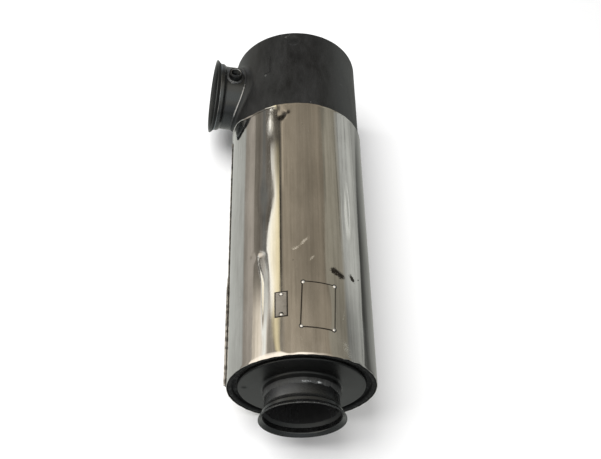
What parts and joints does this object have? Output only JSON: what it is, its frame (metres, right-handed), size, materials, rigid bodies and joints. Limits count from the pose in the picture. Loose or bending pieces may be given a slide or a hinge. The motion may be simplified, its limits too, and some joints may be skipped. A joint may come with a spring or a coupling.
{
  "type": "exhaust muffler",
  "caption": "Round heavy-duty exhaust muffler: black steel shell in a polished heat shield, side inlet and end outlet with V-band flanges, sensor port on the inlet.",
  "frame": {"origin": "centre of the outlet flange's face, on the body axis", "axes": "+Y runs along the body axis from the outlet to the closed end, the inlet leaves towards -X, +Z is the side with the plates and the sensor port"},
  "size_m": [0.307, 0.8, 0.2608],
  "materials": {
    "black_paint": "satin high-temperature black paint",
    "weld_bead": "painted weld bead with bare chips",
    "polished_steel": "mirror-polished stainless sheet",
    "seam_steel": "dull folded strip",
    "plate_metal": "bright plate",
    "rivet_metal": "bright rivet heads",
    "inner_steel": "bare aluminised sheet",
    "insulation": "needled fibre mat",
    "packing": "loose fibre"
  },
  "bodies": {
    "root": {"shell": "black_paint", "outlet_end_cap": "black_paint", "closed_end_cap": "black_paint", "outlet_tube": "black_paint", "outlet_flange": "black_paint", "inlet_tube": "black_paint", "inlet_flange": "black_paint", "sensor_bung": "black_paint", "shell_tag": "black_paint", "shell_seam_weld": "weld_bead", "outlet_collar_weld": "weld_bead", "inlet_saddle_weld": "weld_bead", "sensor_bung_weld": "weld_bead", "heat_shield": "polished_steel", "shield_seam_strip": "seam_steel", "name_plate": "plate_metal", "serial_plate": "plate_metal", "name_plate_rivets": "rivet_metal", "serial_plate_rivets": "rivet_metal", "front_baffle": "inner_steel", "middle_baffle": "inner_steel", "rear_baffle": "inner_steel", "inlet_diffuser": "inner_steel", "diffuser_plug": "inner_steel", "perforated_core": "inner_steel", "transfer_tube_left": "inner_steel", "transfer_tube_right": "inner_steel", "insulation_mat": "insulation", "absorption_packing": "packing"}
  },
  "joints": []
}
